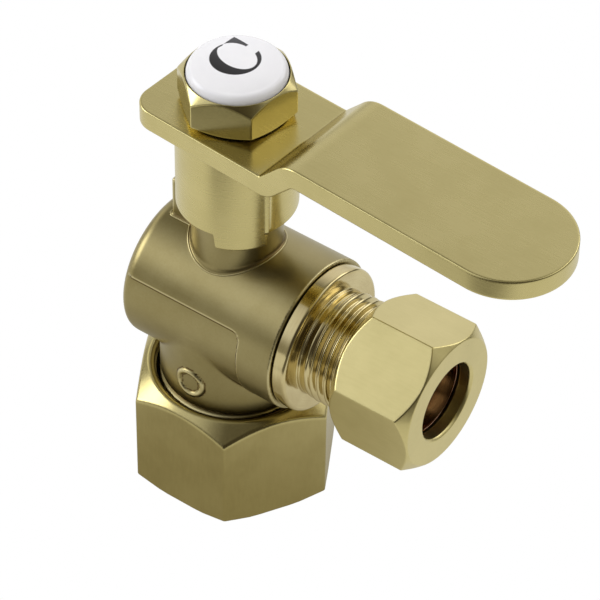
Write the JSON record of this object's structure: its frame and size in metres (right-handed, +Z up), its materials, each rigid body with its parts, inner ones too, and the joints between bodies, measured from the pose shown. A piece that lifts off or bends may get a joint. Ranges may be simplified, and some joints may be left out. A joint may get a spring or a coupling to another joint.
{
  "type": "angle stop valve",
  "caption": "Quarter-turn angle stop valve in satin brass: lever handle, compression nuts below and at the side, round porcelain index button.",
  "frame": {"origin": "centre of the inlet nut's bottom face, on the supply pipe's axis", "axes": "+Z up along the stem's axis, +X out of the outlet, +Y to the side away from the recessed panel"},
  "size_m": [0.0611, 0.0238, 0.064],
  "materials": {
    "satin_brass": "satin brushed, uncoated",
    "turned_brass": "turned, bright",
    "white_porcelain": "glazed",
    "black_rubber": "matt",
    "white_ptfe": "waxy",
    "dark_nylon": "satin"
  },
  "bodies": {
    "valve": {"valve_body": "satin_brass", "outlet_adaptor": "turned_brass", "adaptor_o_ring": "black_rubber", "outlet_seat": "white_ptfe", "back_seat": "white_ptfe"},
    "handle": {"lever": "satin_brass", "cap_washer": "dark_nylon", "cap_nut": "satin_brass", "index_button": "white_porcelain", "button_o_ring": "black_rubber", "stem": "turned_brass", "stem_thrust_washer": "white_ptfe", "stem_o_ring_lower": "black_rubber", "stem_o_ring_upper": "black_rubber", "lever_bearing_washer": "dark_nylon"},
    "ball": {"ball": "turned_brass"},
    "outlet_ferrule": {"outlet_ferrule": "turned_brass"},
    "outlet_nut": {"outlet_nut": "satin_brass"},
    "inlet_ferrule": {"inlet_ferrule": "turned_brass"},
    "inlet_nut": {"inlet_nut": "satin_brass"}
  },
  "joints": [
    {"name": "lever_turn", "type": "hinge", "parent": "valve", "child": "handle", "pos_m": [0, 0, 0.0573], "axis": [0, 0, 1], "range_deg": [-86, 4]},
    {"name": "ball_turn", "type": "hinge", "parent": "valve", "child": "ball", "pos_m": [0, 0, 0.0273], "axis": [0, 0, 1], "range_deg": [-86, 4]},
    {"name": "outlet_nut_travel", "type": "slide", "parent": "valve", "child": "outlet_ferrule", "axis": [1, 0, 0], "range_m": [-0.0022, 0.00275]},
    {"name": "outlet_nut_turn", "type": "hinge", "parent": "outlet_ferrule", "child": "outlet_nut", "pos_m": [0.0255, 0, 0.0273], "axis": [1, 0, 0], "range_deg": [-720, 900]},
    {"name": "inlet_nut_travel", "type": "slide", "parent": "valve", "child": "inlet_ferrule", "axis": [0, 0, 1], "range_m": [-0.0029, 0.00075]},
    {"name": "inlet_nut_turn", "type": "hinge", "parent": "inlet_ferrule", "child": "inlet_nut", "pos_m": [0, 0, 0.008], "axis": [0, 0, 1], "range_deg": [-720, 180]}
  ],
  "couplings": [
    {"joint": "ball_turn", "follows": "lever_turn", "ratio": 1},
    {"joint": "outlet_nut_travel", "follows": "outlet_nut_turn", "m_per_rad": 0.00016844},
    {"joint": "inlet_nut_travel", "follows": "inlet_nut_turn", "m_per_rad": 0.00022458}
  ]
}
